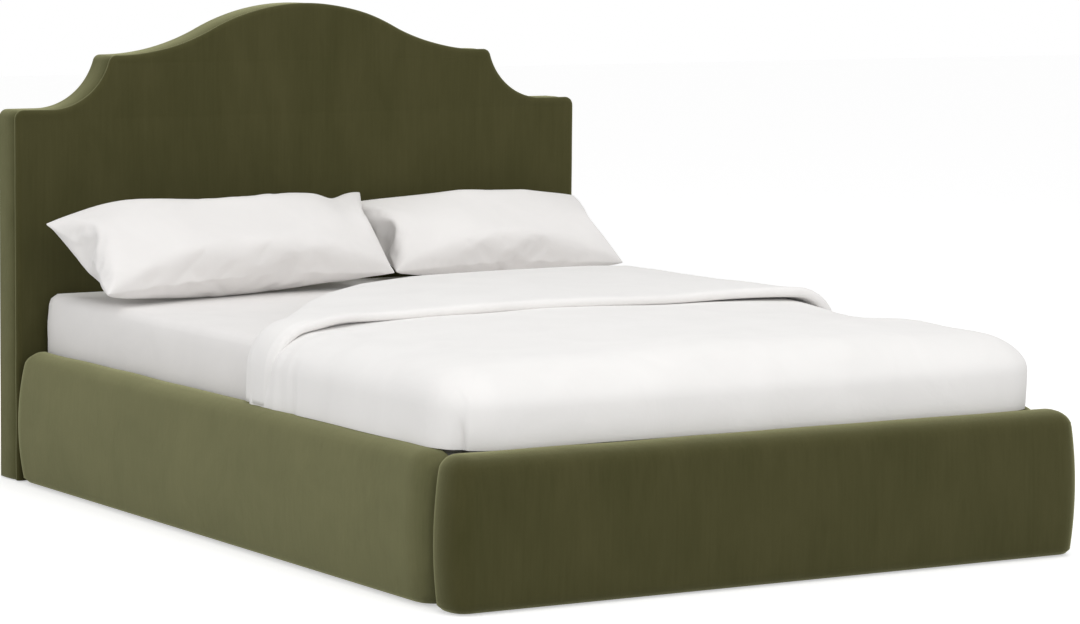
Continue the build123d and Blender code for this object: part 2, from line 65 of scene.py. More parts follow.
def material(name, colour, roughness):
    """New material with its main shader, and the node maker used to build on it."""
    made = bpy.data.materials.new(name)
    made.use_nodes = True
    shader = made.node_tree.nodes["Principled BSDF"]
    shader.inputs["Base Color"].default_value = (*colour, 1)
    shader.inputs["Roughness"].default_value = roughness

    def node(kind, settings=(), links=(), **values):
        """Adds a node; values go to its sockets by name, links are (output, socket) pairs."""
        n = made.node_tree.nodes.new(kind)
        for key, value in dict(settings).items():
            setattr(n, key, value)
        for key, value in values.items():
            n.inputs[key.replace("_", " ")].default_value = value
        for output, socket in links:
            made.node_tree.links.new(output, n.inputs[socket])
        return n

    return made, shader, node, made.node_tree.links.new


def object_coordinates(node, scale=(1, 1, 1)):
    """The piece's own coordinates in metres, stretched by scale."""
    where = node("ShaderNodeTexCoord").outputs["Object"]
    return node("ShaderNodeMapping", links=[(where, "Vector")], Scale=scale).outputs["Vector"]


def ramp(node, source, stops):
    """Colour ramp through (place, colour) stops."""
    n = node("ShaderNodeValToRGB", links=[(source, "Fac")])
    for i, (place, colour) in enumerate(stops):
        stop = n.color_ramp.elements[i] if i < 2 else n.color_ramp.elements.new(place)
        stop.position = place
        stop.color = (*colour, 1)
    return n.outputs["Color"]


def blend(node, first, second, share):
    """Two patterns mixed, share of the second."""
    links = [(first, "A"), (second, "B")]
    return node("ShaderNodeMix", {"data_type": "FLOAT"}, links, Factor=share).outputs["Result"]


def relief(node, height, strength, distance, under=None):
    """Bump from a height, on top of an earlier bump if there is one."""
    links = [(height, "Height")] + ([(under, "Normal")] if under else [])
    return node("ShaderNodeBump", links=links, Strength=strength, Distance=distance).outputs["Normal"]


def velvet_material(name, dark, light, nap=(1.0, 1.0, 0.35)):
    """Velvet from its dark and light shades; nap stretches the brushed mottling."""
    made, shader, node, link = material(name, dark, 0.85)
    brushed = node("ShaderNodeTexNoise", links=[(object_coordinates(node, nap), "Vector")],
                   Scale=9, Detail=5, Roughness=0.62, Distortion=0.4)
    streaks = node("ShaderNodeTexNoise", links=[(object_coordinates(node, (1, 1, 0.04)), "Vector")],
                   Scale=150, Detail=3, Roughness=0.6)
    pile = node("ShaderNodeTexNoise", links=[(object_coordinates(node), "Vector")],
                Scale=900, Detail=2, Roughness=0.7)
    mixed = blend(node, brushed.outputs["Fac"], streaks.outputs["Fac"], 0.35)
    grain = blend(node, mixed, pile.outputs["Fac"], 0.28)
    link(ramp(node, grain, [(0.36, dark), (0.66, light)]), shader.inputs["Base Color"])
    short_pile = relief(node, pile.outputs["Fac"], 0.25, 0.0006)
    link(relief(node, brushed.outputs["Fac"], 0.22, 0.006, short_pile), shader.inputs["Normal"])
    shader.inputs["Sheen Weight"].default_value = 1.0
    shader.inputs["Sheen Roughness"].default_value = 0.45
    shader.inputs["Sheen Tint"].default_value = (0.50, 0.50, 0.28, 1)
    shader.inputs["Specular IOR Level"].default_value = 0.12
    return made


velvet = velvet_material("velvet", (0.043, 0.041, 0.012), (0.063, 0.058, 0.021))
# painted light: this lighter copy of the velvet stands for the light the boxing strip catches on its top from
# the overhead lamp
velvet_band_painted_light = velvet_material("velvet_band_painted_light", (0.056, 0.055, 0.019), (0.082, 0.079, 0.031), nap=(1, 1, 1))
# painted light: this lighter copy of the velvet stands for the brighter sheen of the side rails, seen at a
# slant and lit from the left
velvet_rail_painted_light = velvet_material("velvet_rail_painted_light", (0.092, 0.091, 0.040), (0.126, 0.122, 0.056), nap=(1, 0.6, 0.6))

# ------------------------------------------------------------------ headboard
# Shaped plywood and foam under one velvet front, rolled over the front edge and stitched to a boxing
# strip that runs up the sides and over the top. The seam pulls in between the two.

head_low = Vector((*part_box("headboard_front_cover")[0],))
head_high = Vector((*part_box("headboard_front_cover")[1],))
head_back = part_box("headboard_back_cloth")[1].y
half_width, base_z, peak_z = head_high.x, head_low.z - 0.007, head_high.z
notch_z, shoulder_z = peak_z - 0.130, peak_z - 0.266
hump_half, cove_x, cove_r = 0.545, 0.736, 0.174
notch_r, shoulder_r = 0.018, 0.020


def arc(centre, radius, start, end, step=0.006):
    """Points along an arc, from one angle to the other in degrees."""
    a, b = math.radians(start), math.radians(end)
    count = max(3, math.ceil(abs(b - a) * radius / step))
    return [(centre[0] + radius * math.cos(a + (b - a) * i / count),
             centre[1] + radius * math.sin(a + (b - a) * i / count)) for i in range(count + 1)]


def straight(start, end, step=0.012):
    """Points along a straight stretch, without its two ends."""
    count = max(2, math.ceil(math.dist(start, end) / step))
    return [(start[0] + (end[0] - start[0]) * i / count, start[1] + (end[1] - start[1]) * i / count)
            for i in range(1, count)]


def half_outline():
    """Right half of the headboard's outline, from the middle of its top to the floor."""
    rise = peak_z - notch_z
    r = (hump_half ** 2 + rise ** 2) / (4 * rise)
    lean = math.degrees(math.asin(hump_half / 2 / r))
    points = arc((0, peak_z - r), r, 90, 90 - lean)
    points += arc((hump_half, notch_z + r), r, 270 - lean, 270)[1:]
    # the notch corner, rounded between the level stretch and the cove
    inner = cove_r + notch_r
    drop = shoulder_z + cove_r - (notch_z - notch_r)
    corner_x = cove_x - math.sqrt(inner ** 2 - drop ** 2)
    turn = math.degrees(math.atan2(drop, cove_x - corner_x))
    points += straight(points[-1], (corner_x, notch_z))
    points += arc((corner_x, notch_z - notch_r), notch_r, 90, turn, 0.0035)
    points += arc((cove_x, shoulder_z + cove_r), cove_r, 180 + turn, 270)[1:]
    points += straight(points[-1], (half_width - shoulder_r, shoulder_z))
    points += arc((half_width - shoulder_r, shoulder_z - shoulder_r), shoulder_r, 90, 0, 0.0035)
    points += straight(points[-1], (half_width, base_z))
    return points + [(half_width, base_z)]


right_half = half_outline()
outline = np.array([(-x, z) for x, z in reversed(right_half[1:])] + right_half)
tangent = np.gradient(outline, axis=0)
tangent /= np.linalg.norm(tangent, axis=1)[:, None]
outward = np.stack([-tangent[:, 1], tangent[:, 0]], axis=1)
run = np.concatenate([[0], np.cumsum(np.linalg.norm(np.diff(outline, axis=0), axis=1))])


def mesh_piece(name, points, faces, look, smooth=True):
    """Mesh object from points and faces, normals outward."""
    data = bpy.data.meshes.new(name)
    data.from_pydata([tuple(p) for p in points], [], faces)
    work = bmesh.new()
    work.from_mesh(data)
    bmesh.ops.remove_doubles(work, verts=work.verts, dist=1e-5)
    bmesh.ops.recalc_face_normals(work, faces=work.faces)
    work.to_mesh(data)
    work.free()
    data.materials.append(look)
    for polygon in data.polygons:
        polygon.use_smooth = smooth
    made = bpy.data.objects.new(name, data)
    bpy.context.scene.collection.objects.link(made)
    return made


def ruled(rows):
    """Points and quads of a surface whose rows all have the same number of points."""
    count = len(rows[0])
    points = [p for row in rows for p in row]
    faces = [(i * count + j, i * count + j + 1, (i + 1) * count + j + 1, (i + 1) * count + j)
             for i in range(len(rows) - 1) for j in range(count - 1)]
    return points, faces


def rim_row(offset, y):
    """The outline moved outward by offset, at depth y, which may both vary along the run."""
    shifted = outline + outward * np.reshape(offset, (-1, 1))
    shifted[:, 1] = np.maximum(shifted[:, 1], base_z)
    depth = np.broadcast_to(y, len(outline))
    return [(p[0], d, p[1]) for p, d in zip(shifted, depth)]


def wander(scale, seed, size):
    """Slow uneven wave along the run, for hand-pulled cloth."""
    return np.array([noise.noise(Vector((s * scale, seed, 0))) for s in run]) * size


# front: sunk seam, puffed roll, then flat face closed by one face in the middle
seam_y = head_high.y
roll = 0.017
uneven = wander(9, 1, 0.0012)
front_rows = [rim_row(-0.006, seam_y + 0.001), rim_row(-0.002, seam_y - 0.0015),
              rim_row(0.0015 + uneven, seam_y - 0.0035)]
for step in range(9):
    angle = math.radians(90 * step / 8)
    puff = 0.0034 * math.cos(angle) + 0.0016 * math.sin(2 * angle)
    front_rows.append(rim_row(-roll * (1 - math.cos(angle)) + puff + uneven * math.cos(angle),
                              head_low.y + roll * (1 - math.sin(angle)) - 0.006 * math.cos(angle)))
points, faces = ruled(front_rows)
inner_ring = [(len(front_rows) - 1) * len(outline) + j for j in range(len(outline))]
front_cover = mesh_piece("headboard_front", points, faces + [tuple(inner_ring)], velvet)

# boxing: from the seam to the back edge, puffed between its two seams
band_rows = []
for share in (0, 0.02, 0.05, 0.10, 0.18, 0.28, 0.40, 0.52, 0.64, 0.76, 0.86, 0.93, 0.97, 1):
    puff = 0.0085 * math.sin(math.pi * share) ** 0.5 - 0.006 * (1 - share ** 6)
    band_rows.append(rim_row(puff + wander(14, 5, 0.0012) * math.sin(math.pi * share),
                             seam_y + 0.0005 + (head_back - seam_y - 0.002) * share))
points, faces = ruled(band_rows)
# the boxing strip wears the lighter velvet copy, which is painted light
boxing = mesh_piece("headboard_boxing_strip", points, faces, velvet_band_painted_light)
thick = boxing.modifiers.new("thickness", "SOLIDIFY")
thick.thickness, thick.offset = 0.002, -1

for piece, nodes in ((front_cover, ("headboard_front_cover", "headboard_front_foam")),
                     (boxing, ("headboard_boxing",))):
    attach(piece, "bed_frame")
    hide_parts(*nodes)

# ------------------------------------------------------------------ side and foot rails
# Each rail is a board box padded with foam and pulled into a velvet cover, so its ends are round and
# swell a little at mid height, and the cover is tight along the straight edges.


def soft_block(name, low, high, cell, rounding, look, bulge=None):
    """Evenly divided block; rounding is (low side, high side) per axis; bulge moves each finished point."""
    bpy.ops.object.select_all(action="DESELECT")
    low, high = Vector(low), Vector(high)
    bpy.ops.mesh.primitive_cube_add(size=1, location=(0, 0, 0))
    block = bpy.context.object
    block.name = block.data.name = name
    size = high - low
    work = bmesh.new()
    work.from_mesh(block.data)
    for axis in range(3):
        count = max(1, round(size[axis] / cell))
        for i in range(1, count):
            normal = Vector((0, 0, 0))
            normal[axis] = 1
            cut = normal * (i / count - 0.5)
            geometry = work.verts[:] + work.edges[:] + work.faces[:]
            bmesh.ops.bisect_plane(work, geom=geometry, plane_co=cut, plane_no=normal)
    work.to_mesh(block.data)
    work.free()
    middle = (low + high) / 2
    half = size / 2
    pairs = [r if isinstance(r, tuple) else (r, r) for r in rounding]
    for vertex in block.data.vertices:
        p = Vector([2 * c * h for c, h in zip(vertex.co, half)])
        core = Vector([max(-h + r[0], min(h - r[1], c)) for c, h, r in zip(p, half, pairs)])
        radii = [r[0] if c < 0 else r[1] for c, r in zip(p, pairs)]
        out = Vector([(c - k) / r if r else 0 for c, k, r in zip(p, core, radii)])
        if out.length > 0:
            out = Vector([o * r for o, r in zip(out.normalized(), radii)])
            p = core + out
        p = middle + p
        vertex.co = bulge(p) if bulge else p
    block.data.materials.append(look)
    for polygon in block.data.polygons:
        polygon.use_smooth = True
    return block


def smooth(value, start, end):
    """0 before start, 1 after end, eased between."""
    share = min(1, max(0, (value - start) / (end - start)))
    return share * share * (3 - 2 * share)


def swell(value, low, high):
    """0 at both ends of a stretch and 1 in its middle, with soft shoulders."""
    share = min(1, max(0, (value - low) / (high - low)))
    return math.sin(math.pi * share) ** 0.7


for side, s in (("left", -1), ("right", 1)):
    low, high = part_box(f"side_rail_cover_{side}")

    def rail_bulge(p, low=low, high=high, s=s):
        """The outer face and the ends stand out most at mid height."""
        flat = 1 - swell(p.z, low.z - 0.04, high.z + 0.01)
        outer = smooth(s * p.x, 0.79, 0.83)
        near_end = max(0.0, 1 - min(p.y - low.y, high.y - p.y) / 0.16)
        p.x += s * outer * (0.005 - flat * 0.024)
        p.z += 0.0025 * noise.noise(Vector((p.y * 5, s, 0))) * smooth(p.z, high.z - 0.02, high.z)
        pull = near_end ** 2 * flat * 0.030 * (0.3 + 0.7 * outer)
        p.y += pull if p.y < (low.y + high.y) / 2 else -pull
        return p

    low.z, high.z = low.z - 0.006, high.z + 0.002
    inner_r, outer_r, foot_end_r, head_end_r, bottom_r, top_r = 0.010, 0.042, 0.080, 0.045, 0.005, 0.030
    across_r = (outer_r, inner_r) if s < 0 else (inner_r, outer_r)
    # the rails wear the lighter velvet copy, which is painted light
    rail = soft_block(f"side_rail_{side}", low, high, 0.013,
                      (across_r, (foot_end_r, head_end_r), (bottom_r, top_r)), velvet_rail_painted_light, rail_bulge)
    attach(rail, "bed_frame")
    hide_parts(f"side_rail_cover_{side}", f"side_rail_foam_{side}")

low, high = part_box("foot_rail_cover")
low.z, high.z = low.z - 0.008, high.z + 0.003


def foot_bulge(p, low=low, high=high):
    """The front is gently crowned, and the ends swell at mid height."""
    rise = swell(p.z, low.z - 0.05, high.z + 0.01)
    edge = max(0.0, 1 - (high.x - abs(p.x)) / 0.12)
    p.x += (1 if p.x > 0 else -1) * edge ** 2 * (0.002 - 0.026 * (1 - rise))
    front = max(0.0, min(1.0, (high.y - 0.03 - p.y) / 0.06))
    p.y -= front * (0.004 + rise * 0.010)
    p.z += 0.003 * noise.noise(Vector((p.x * 4, 7, 0))) * max(0, (p.z - high.z + 0.02) / 0.02)
    return p


end_r, front_r, rear_r, bottom_r, top_r = 0.050, 0.050, 0.045, 0.006, 0.034
foot = soft_block("foot_rail", low, high, 0.013, (end_r, (front_r, rear_r), (bottom_r, top_r)),
                  velvet, foot_bulge)
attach(foot, "bed_frame")
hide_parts("foot_rail_cover", "foot_rail_foam")

# ------------------------------------------------------------------ fitted sheet
# White cotton percale, elastic under the mattress, so it is stretched flat with a few pulls at the
# corners.


def cotton(name, colour, weave=1400):
    """Fine white cotton with a plain weave, faint creases and a soft sheen."""
    made, shader, node, link = material(name, colour, 0.82)
    where = object_coordinates(node)
    across = node("ShaderNodeTexWave", {"bands_direction": "X"}, [(where, "Vector")], Scale=weave / 6.28)
    along = node("ShaderNodeTexWave", {"bands_direction": "Y"}, [(where, "Vector")], Scale=weave / 6.28)
    threads = node("ShaderNodeMath", {"operation": "MULTIPLY"},
                   [(across.outputs["Fac"], 0), (along.outputs["Fac"], 1)])
    crumple = node("ShaderNodeTexNoise", links=[(where, "Vector")],
                   Scale=7, Detail=6, Roughness=0.55, Distortion=0.6)
    tone = ramp(node, crumple.outputs["Fac"], [(0.3, tuple(c * 0.96 for c in colour)), (0.7, colour)])
    link(tone, shader.inputs["Base Color"])
    woven = relief(node, threads.outputs["Value"], 0.12, 0.0003)
    link(relief(node, crumple.outputs["Fac"], 0.30, 0.006, woven), shader.inputs["Normal"])
    shader.inputs["Sheen Weight"].default_value = 0.25
    shader.inputs["Sheen Roughness"].default_value = 0.5
    shader.inputs["Specular IOR Level"].default_value = 0.2
    return made


sheet_cotton = cotton("sheet_cotton", (0.815, 0.795, 0.78))
low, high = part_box("fitted_sheet")
low.x, high.x, high.y = low.x - 0.004, high.x + 0.004, high.y + 0.012


def sheet_bulge(p):
    """Side walls belly out slightly, with shallow pulls running from the corners."""
    side = max(0.0, min(1.0, (high.z - 0.02 - p.z) / 0.05))
    p.x += math.copysign(side * 0.004 * swell(p.z, low.z, high.z), p.x)
    pull = noise.noise(Vector((p.x * 3, p.y * 9, p.z * 14)))
    p.z += 0.002 * pull * (1 - side)
    p.x += 0.0015 * pull * side
    return p


sheet = soft_block("bed_sheet", low, high, 0.024, (0.028, 0.024, 0.034), sheet_cotton, sheet_bulge)
work = bmesh.new()
work.from_mesh(sheet.data)
under = [f for f in work.faces if f.calc_center_median().z < low.z + 0.004 and f.normal.z < -0.9
         and min(f.calc_center_median().x - low.x, high.x - f.calc_center_median().x,
                 f.calc_center_median().y - low.y, high.y - f.calc_center_median().y) > 0.10]
bmesh.ops.delete(work, geom=under, context="FACES")
work.to_mesh(sheet.data)
work.free()
thick = sheet.modifiers.new("thickness", "SOLIDIFY")
thick.thickness, thick.offset = 0.0008, -1
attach(sheet, "mattress")
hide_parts("fitted_sheet")

# ------------------------------------------------------------------ duvet
# A thick quilt in a white cotton cover, laid over the mattress down to the rails. Its head end is
# folded back on itself, so a full roll and a turned-back band lie across the bed.

duvet_cotton = cotton("duvet_cotton", (0.85, 0.835, 0.82))
duvet_low, duvet_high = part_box("duvet_cover")
duvet_low.z -= 0.002
mat_low, mat_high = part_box("fitted_sheet")
turn_low_z = duvet_high.z - 0.036


def billow(x, y, z):
    """Soft uneven loft of a filled quilt."""
    wide = noise.noise(Vector((x * 1.6, y * 2.1, z * 2 + 3)))
    near = noise.noise(Vector((x * 4.2 + 9, y * 5.5, z * 5)))
    return wide * 0.65 + near * 0.35


fold_line = ((-0.80, -0.150), (-0.70, -0.130), (-0.60, -0.005), (-0.50, 0.125), (-0.38, 0.255),
             (-0.22, 0.380), (-0.02, 0.475), (0.25, 0.545), (0.55, 0.585), (0.82, 0.595))


def fold_y(x, z):
    """Head end of the fold, askew across the bed: drawn back at the left, up to the pillows at the right."""
    at = np.interp(x, [p[0] for p in fold_line], [p[1] for p in fold_line])
    down = 1 - smooth(z, duvet_low.z, mat_high.z)
    return at + down * (0.02 if x < 0 else -0.05) + 0.006 * noise.noise(Vector((x * 3, 2, z * 3)))


def to_fold(p):
    """Draw the head half of the plain quilt back so that it ends inside the fold."""
    start = -0.40
    if p.y > start:
        share = min(1, (p.y - start) / (duvet_high.y - start))
        p.y = start + share * (fold_y(p.x, p.z) - 0.030 - start)


def duvet_outer(p):
    """Outer surface of the quilt from its plain rounded form."""
    top = smooth(p.z, duvet_low.z + 0.10, turn_low_z)
    crown = 1 - (p.x / duvet_high.x) ** 2
    p.z += top * (0.022 * crown - 0.004)
    p.z += top * billow(p.x, p.y, p.z) * 0.013
    p.z -= top * 0.013 * smooth(p.x, 0.45, 0.70) * math.exp(-((p.y + 0.42) / 0.16) ** 2)
    side = 1 - top
    if abs(p.x) > mat_high.x:
        fold = noise.noise(Vector((p.y * 5.2, 3 * math.copysign(1, p.x), p.z * 2)))
        p.x += (1 if p.x > 0 else -1) * side * (0.006 * fold - 0.003)
    if p.y < mat_low.y:
        fold = noise.noise(Vector((p.x * 4.6, 11, p.z * 2)))
        p.y -= side * (0.008 * fold + 0.006 * swell(p.z, duvet_low.z, turn_low_z))
    # the short fold where the side drape tucks behind the foot drape
    corner = Vector((duvet_high.x - 0.034, duvet_low.y + 0.040))
    gap = (Vector((abs(p.x), p.y)) - corner).length
    p.x -= math.copysign(0.016 * math.exp(-(gap / 0.012) ** 2) * (1 - smooth(p.z, 0.36, 0.43)), p.x)
    to_fold(p)
    return p


def capped(name, low, high, cell, rounding, look, outer, inner_low, inner_high):
    """Rounded block open below and at its head end, given an inner wall that clears the mattress."""
    block = soft_block(name, low - Vector((0, 0, rounding[2])), high + Vector((0, rounding[1], 0)),
                       cell, rounding, look)
    work = bmesh.new()
    work.from_mesh(block.data)
    for place, normal in ((low, (0, 0, -1)), (high, (0, 1, 0))):
        geometry = work.verts[:] + work.edges[:] + work.faces[:]
        bmesh.ops.bisect_plane(work, geom=geometry, plane_co=place, plane_no=normal, clear_outer=True)
    rim = [e for e in work.edges if e.is_boundary]
    inside = bmesh.ops.duplicate(work, geom=work.verts[:] + work.edges[:] + work.faces[:])
    pair = inside["vert_map"]
    copies = set(g for g in inside["geom"] if isinstance(g, bmesh.types.BMVert))
    for v in copies:
        for axis in range(2):
            v.co[axis] = max(inner_low[axis], min(inner_high[axis], v.co[axis]))
        v.co.z = min(inner_high.z, v.co.z)
        to_fold(v.co)
    for v in work.verts:
        if v not in copies:
            v.co = outer(v.co.copy())
    for e in rim:
        a, b = e.verts
        work.faces.new((a, b, pair[b], pair[a]))
    bmesh.ops.recalc_face_normals(work, faces=work.faces)
    work.to_mesh(block.data)
    work.free()
    for polygon in block.data.polygons:
        polygon.use_smooth = True
    return block


clear = 0.0015
duvet = capped("duvet_quilt", duvet_low, Vector((duvet_high.x, duvet_high.y, turn_low_z)), 0.012,
               (0.12, 0.14, 0.085), duvet_cotton, duvet_outer,
               Vector((mat_low.x - clear, mat_low.y - clear, 0)),
               Vector((mat_high.x + clear, duvet_high.y, mat_high.z + clear)))
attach(duvet, "duvet")
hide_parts("duvet_cover", "duvet_fill")


# turned-back band: a loop profile carried over the bed from rail top to rail top
side_drop = duvet_low.z + 0.004


def cap_path(step=0.012):
    """Points and outward normals across the bed, up the left side, over the top, down the right."""
    r = 0.060
    x1, z1 = mat_high.x + clear, mat_high.z + clear
    half = [(x1, side_drop + (z1 - r - side_drop) * i / 8, 1, 0) for i in range(8)]
    for i in range(9):
        a = math.radians(90 * i / 8)
        half.append((x1 - r + r * math.cos(a), z1 - r + r * math.sin(a), math.cos(a), math.sin(a)))
    count = round((x1 - r) / step)
    half += [((x1 - r) * (1 - i / count), z1, 0, 1) for i in range(1, count + 1)]
    left = [(-x, z, -nx, nz) for x, z, nx, nz in half]
    return left + half[::-1][1:]


def free_y(x, z):
    """Free edge of the turned-back band, drawn a little to the foot at the corners."""
    down = 1 - smooth(z, side_drop, mat_high.z)
    across = smooth(abs(x), 0.45, mat_high.x)
    corner = 0.085 if x < 0 else 0.045
    return -0.200 - corner * across + 0.025 * down + 0.010 * noise.noise(Vector((x * 2.2, 8, z * 4)))


def band_profile(x, z, front, back):
    """Closed loop of (y, height above the mattress) round the folded quilt."""
    loft = 0.004 * noise.noise(Vector((x * 2.5, 4, z * 3)))
    # the free edge lifts off the quilt at the right end and for a short stretch at the left
    lift = 0.014 * smooth(x, 0.30, 0.70) + 0.010 * math.exp(-((x + 0.60) / 0.09) ** 2)
    crown = 0.018 * (1 - (x / duvet_high.x) ** 2)
    thick = 0.044 + crown + loft
    lower = 0.020 + crown
    r = thick / 2
    edge = (thick - lower) / 2
    loop = []
    for i in range(7):  # rounded free edge
        a = math.radians(-90 - 180 * i / 6)
        loop.append((front + edge + edge * math.cos(a), lower + lift + edge + edge * math.sin(a)))
    width = back - r - front - edge
    steps = 40
    for i in range(1, steps):  # top
        share = i / steps
        puff = 0.003 * math.sin(math.pi * share) + 0.008 * billow(x, front + width * share, z + 5)
        puff *= min(1, 8 * share, 8 - 8 * share)
        loop.append((front + edge + width * share, thick + lift * (1 - share) ** 4 + puff))
    for i in range(11):  # head roll
        a = math.radians(90 - 180 * i / 10)
        loop.append((back - r + r * math.cos(a), r + r * math.sin(a)))
    for i in range(1, 5):  # back under the fold, inside the quilt
        share = i / 5
        loop.append((back - r - width * share, 0.003 + (lower + lift - 0.003) * share ** 2))
    return loop


rows = []
for x, z, nx, nz in cap_path():
    front, back = free_y(x, z), fold_y(x, z)
    squeeze = 1 - 0.12 * (1 - smooth(z, side_drop, mat_high.z - 0.02))
    profile = [(y, h * squeeze) for y, h in band_profile(x, z, front, back)]
    rows.append([(x + nx * h, y, z + nz * h) for y, h in profile + profile[:1]])
points, faces = ruled(rows)
count = len(rows[0])
last = (len(rows) - 1) * count
caps = [tuple(range(count - 1)), tuple(last + j for j in range(count - 1))]
band = mesh_piece("duvet_turned_back", points, faces + caps, duvet_cotton)
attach(band, "duvet")

# ------------------------------------------------------------------ pillows
# Two long pillows in white cotton cases lean low against the headboard, the left one a little over
# the right. The filling leaves the corners slack, so they point and pucker.

pillow_cotton = cotton("pillow_cotton", (0.82, 0.80, 0.785))


def pillow(name, length, high):
    """Two sewn panels blown up by their filling, with pointed slack corners."""
    bpy.ops.object.select_all(action="DESELECT")
    bpy.ops.mesh.primitive_grid_add(x_subdivisions=84, y_subdivisions=46, size=1)
    panel = bpy.context.object
    panel.name = panel.data.name = name
    work = bmesh.new()
    work.from_mesh(panel.data)
    for v in work.verts:
        v.co = Vector((v.co.x * length, v.co.y * high, 0))
    lower = bmesh.ops.duplicate(work, geom=work.verts[:] + work.edges[:] + work.faces[:])
    copies = [g for g in lower["geom"] if isinstance(g, bmesh.types.BMVert)]
    for v in copies:
        v.co.z -= 0.004
    for v in work.verts:
        fill = (1 - (2 * v.co.x / length) ** 2) * (1 - (2 * v.co.y / high) ** 2)
        v.co.z += math.copysign(0.012 * max(0, fill) ** 0.5, 1 if v.co.z > -0.002 else -1)
    edges = [e for e in work.edges if e.is_boundary]
    bmesh.ops.bridge_loops(work, edges=edges)
    bmesh.ops.remove_doubles(work, verts=work.verts, dist=1e-5)
    bmesh.ops.recalc_face_normals(work, faces=work.faces)
    work.to_mesh(panel.data)
    work.free()
    return panel


def blow_up(piece, pressure, frames):
    """Fill the sewn case with air pressure until it has its loft."""
    cloth = piece.modifiers.new("cloth", "CLOTH")
    cloth.settings.use_pressure = True
    cloth.settings.uniform_pressure_force = pressure
    cloth.settings.effector_weights.gravity = 0
    cloth.settings.tension_stiffness = cloth.settings.compression_stiffness = 25
    cloth.settings.shear_stiffness = 8
    cloth.settings.bending_stiffness = 0.6
    cloth.settings.quality = 6
    cloth.collision_settings.use_collision = False
    cloth.point_cache.frame_end = frames
    for number in range(1, frames + 1):
        bpy.context.scene.frame_set(number)
    bpy.ops.object.select_all(action="DESELECT")
    piece.select_set(True)
    bpy.context.view_layer.objects.active = piece
    bpy.ops.object.modifier_apply(modifier="cloth")


def lay(piece, corners, thick, ear, rest_z, back_y):
    """Stretch the filled case between its four corners, pressed flat on the bed and the headboard.
    ear raises the top edge beside the left corner and dips it before the right one."""
    low_left, low_right, high_left, high_right = (Vector(c) for c in corners)
    co = np.array([v.co for v in piece.data.vertices])
    span = np.abs(co).max(0)
    loft = thick / (co[:, 2].max() - co[:, 2].min())
    for v in piece.data.vertices:
        u, w = (v.co.x / span[0] + 1) / 2, (v.co.y / span[1] + 1) / 2
        along = (low_right - low_left).lerp(high_right - high_left, w)
        up = (high_left - low_left).lerp(high_right - low_right, u)
        place = low_left.lerp(low_right, u).lerp(high_left.lerp(high_right, u), w)
        place += along.cross(up).normalized() * (v.co.z * loft)
        place.z += w * ear * (math.exp(-((u - 0.19) / 0.16) ** 2) - 0.6 * math.exp(-((u - 0.87) / 0.05) ** 2))
        place.z = max(place.z, rest_z)
        place.y = min(place.y, back_y)
        v.co = place


front_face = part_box("headboard_front_cover")[0].y
pillow_corners = {
    "left": ((-0.80, 0.60, 0.525), (0.11, 0.76, 0.525), (-0.835, 0.89, 0.675), (0.135, 0.995, 0.722)),
    "right": ((0.13, 0.79, 0.525), (0.81, 0.74, 0.525), (0.10, 1.03, 0.690), (0.81, 0.99, 0.688))}
for side, length, thick, ear in (("left", 0.96, 0.185, 0.030), ("right", 0.80, 0.165, 0.0)):
    case = pillow(f"pillow_{side}", length, 0.50)
    blow_up(case, 1.5, 24)
    lay(case, pillow_corners[side], thick, ear, mat_high.z + clear, front_face - 0.002)
    case.data.materials.append(pillow_cotton)
    for polygon in case.data.polygons:
        polygon.use_smooth = True
    finer = case.modifiers.new("finer", "SUBSURF")
    finer.levels = finer.render_levels = 1
    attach(case, f"pillow_{side}")
    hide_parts(f"pillow_case_{side}", f"pillow_fill_{side}")

# ------------------------------------------------------------------ back of the headboard
# Black non-woven lining stapled over the open frame at the back, turned under at its edges, so it is
# tight with faint ripples between the staples.

lining = cotton("lining_cloth", (0.028, 0.028, 0.030), 500)
hem = outline - outward * 0.004
hem_x = np.maximum.accumulate(hem[:, 0])
cloth_rows = []
for x in np.linspace(0.0045 - half_width, half_width - 0.0045, 180):
    top_z = np.interp(x, hem_x, hem[:, 1])
    column = [(x, base_z + (top_z - base_z) * i / 24) for i in range(25)]
    cloth_rows.append([(x, head_back - 0.0012 + 0.0006 * noise.noise(Vector((x * 6, 3, z * 6))), z)
                       for x, z in column])
points, faces = ruled(cloth_rows)
back_cloth = mesh_piece("headboard_back_lining", points, faces, lining)
thick = back_cloth.modifiers.new("thickness", "SOLIDIFY")
thick.thickness, thick.offset = 0.0006, -1
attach(back_cloth, "bed_frame")
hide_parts("headboard_back_cloth")


def metal(name, colour, roughness, metallic):
    """Worn metal: uneven sheen, fine scuffs."""
    made, shader, node, link = material(name, colour, roughness)
    shader.inputs["Metallic"].default_value = metallic
    scuffs = node("ShaderNodeTexNoise", links=[(object_coordinates(node), "Vector")], Scale=180, Detail=4)
    tone = ramp(node, scuffs.outputs["Fac"], [(0.3, tuple(c * 0.85 for c in colour)), (0.7, colour)])
    link(tone, shader.inputs["Base Color"])
    spread = node("ShaderNodeMapRange", links=[(scuffs.outputs["Fac"], "Value")],
                  To_Min=roughness - 0.08, To_Max=roughness + 0.10)
    link(spread.outputs["Result"], shader.inputs["Roughness"])
    link(relief(node, scuffs.outputs["Fac"], 0.15, 0.0003), shader.inputs["Normal"])
    return made


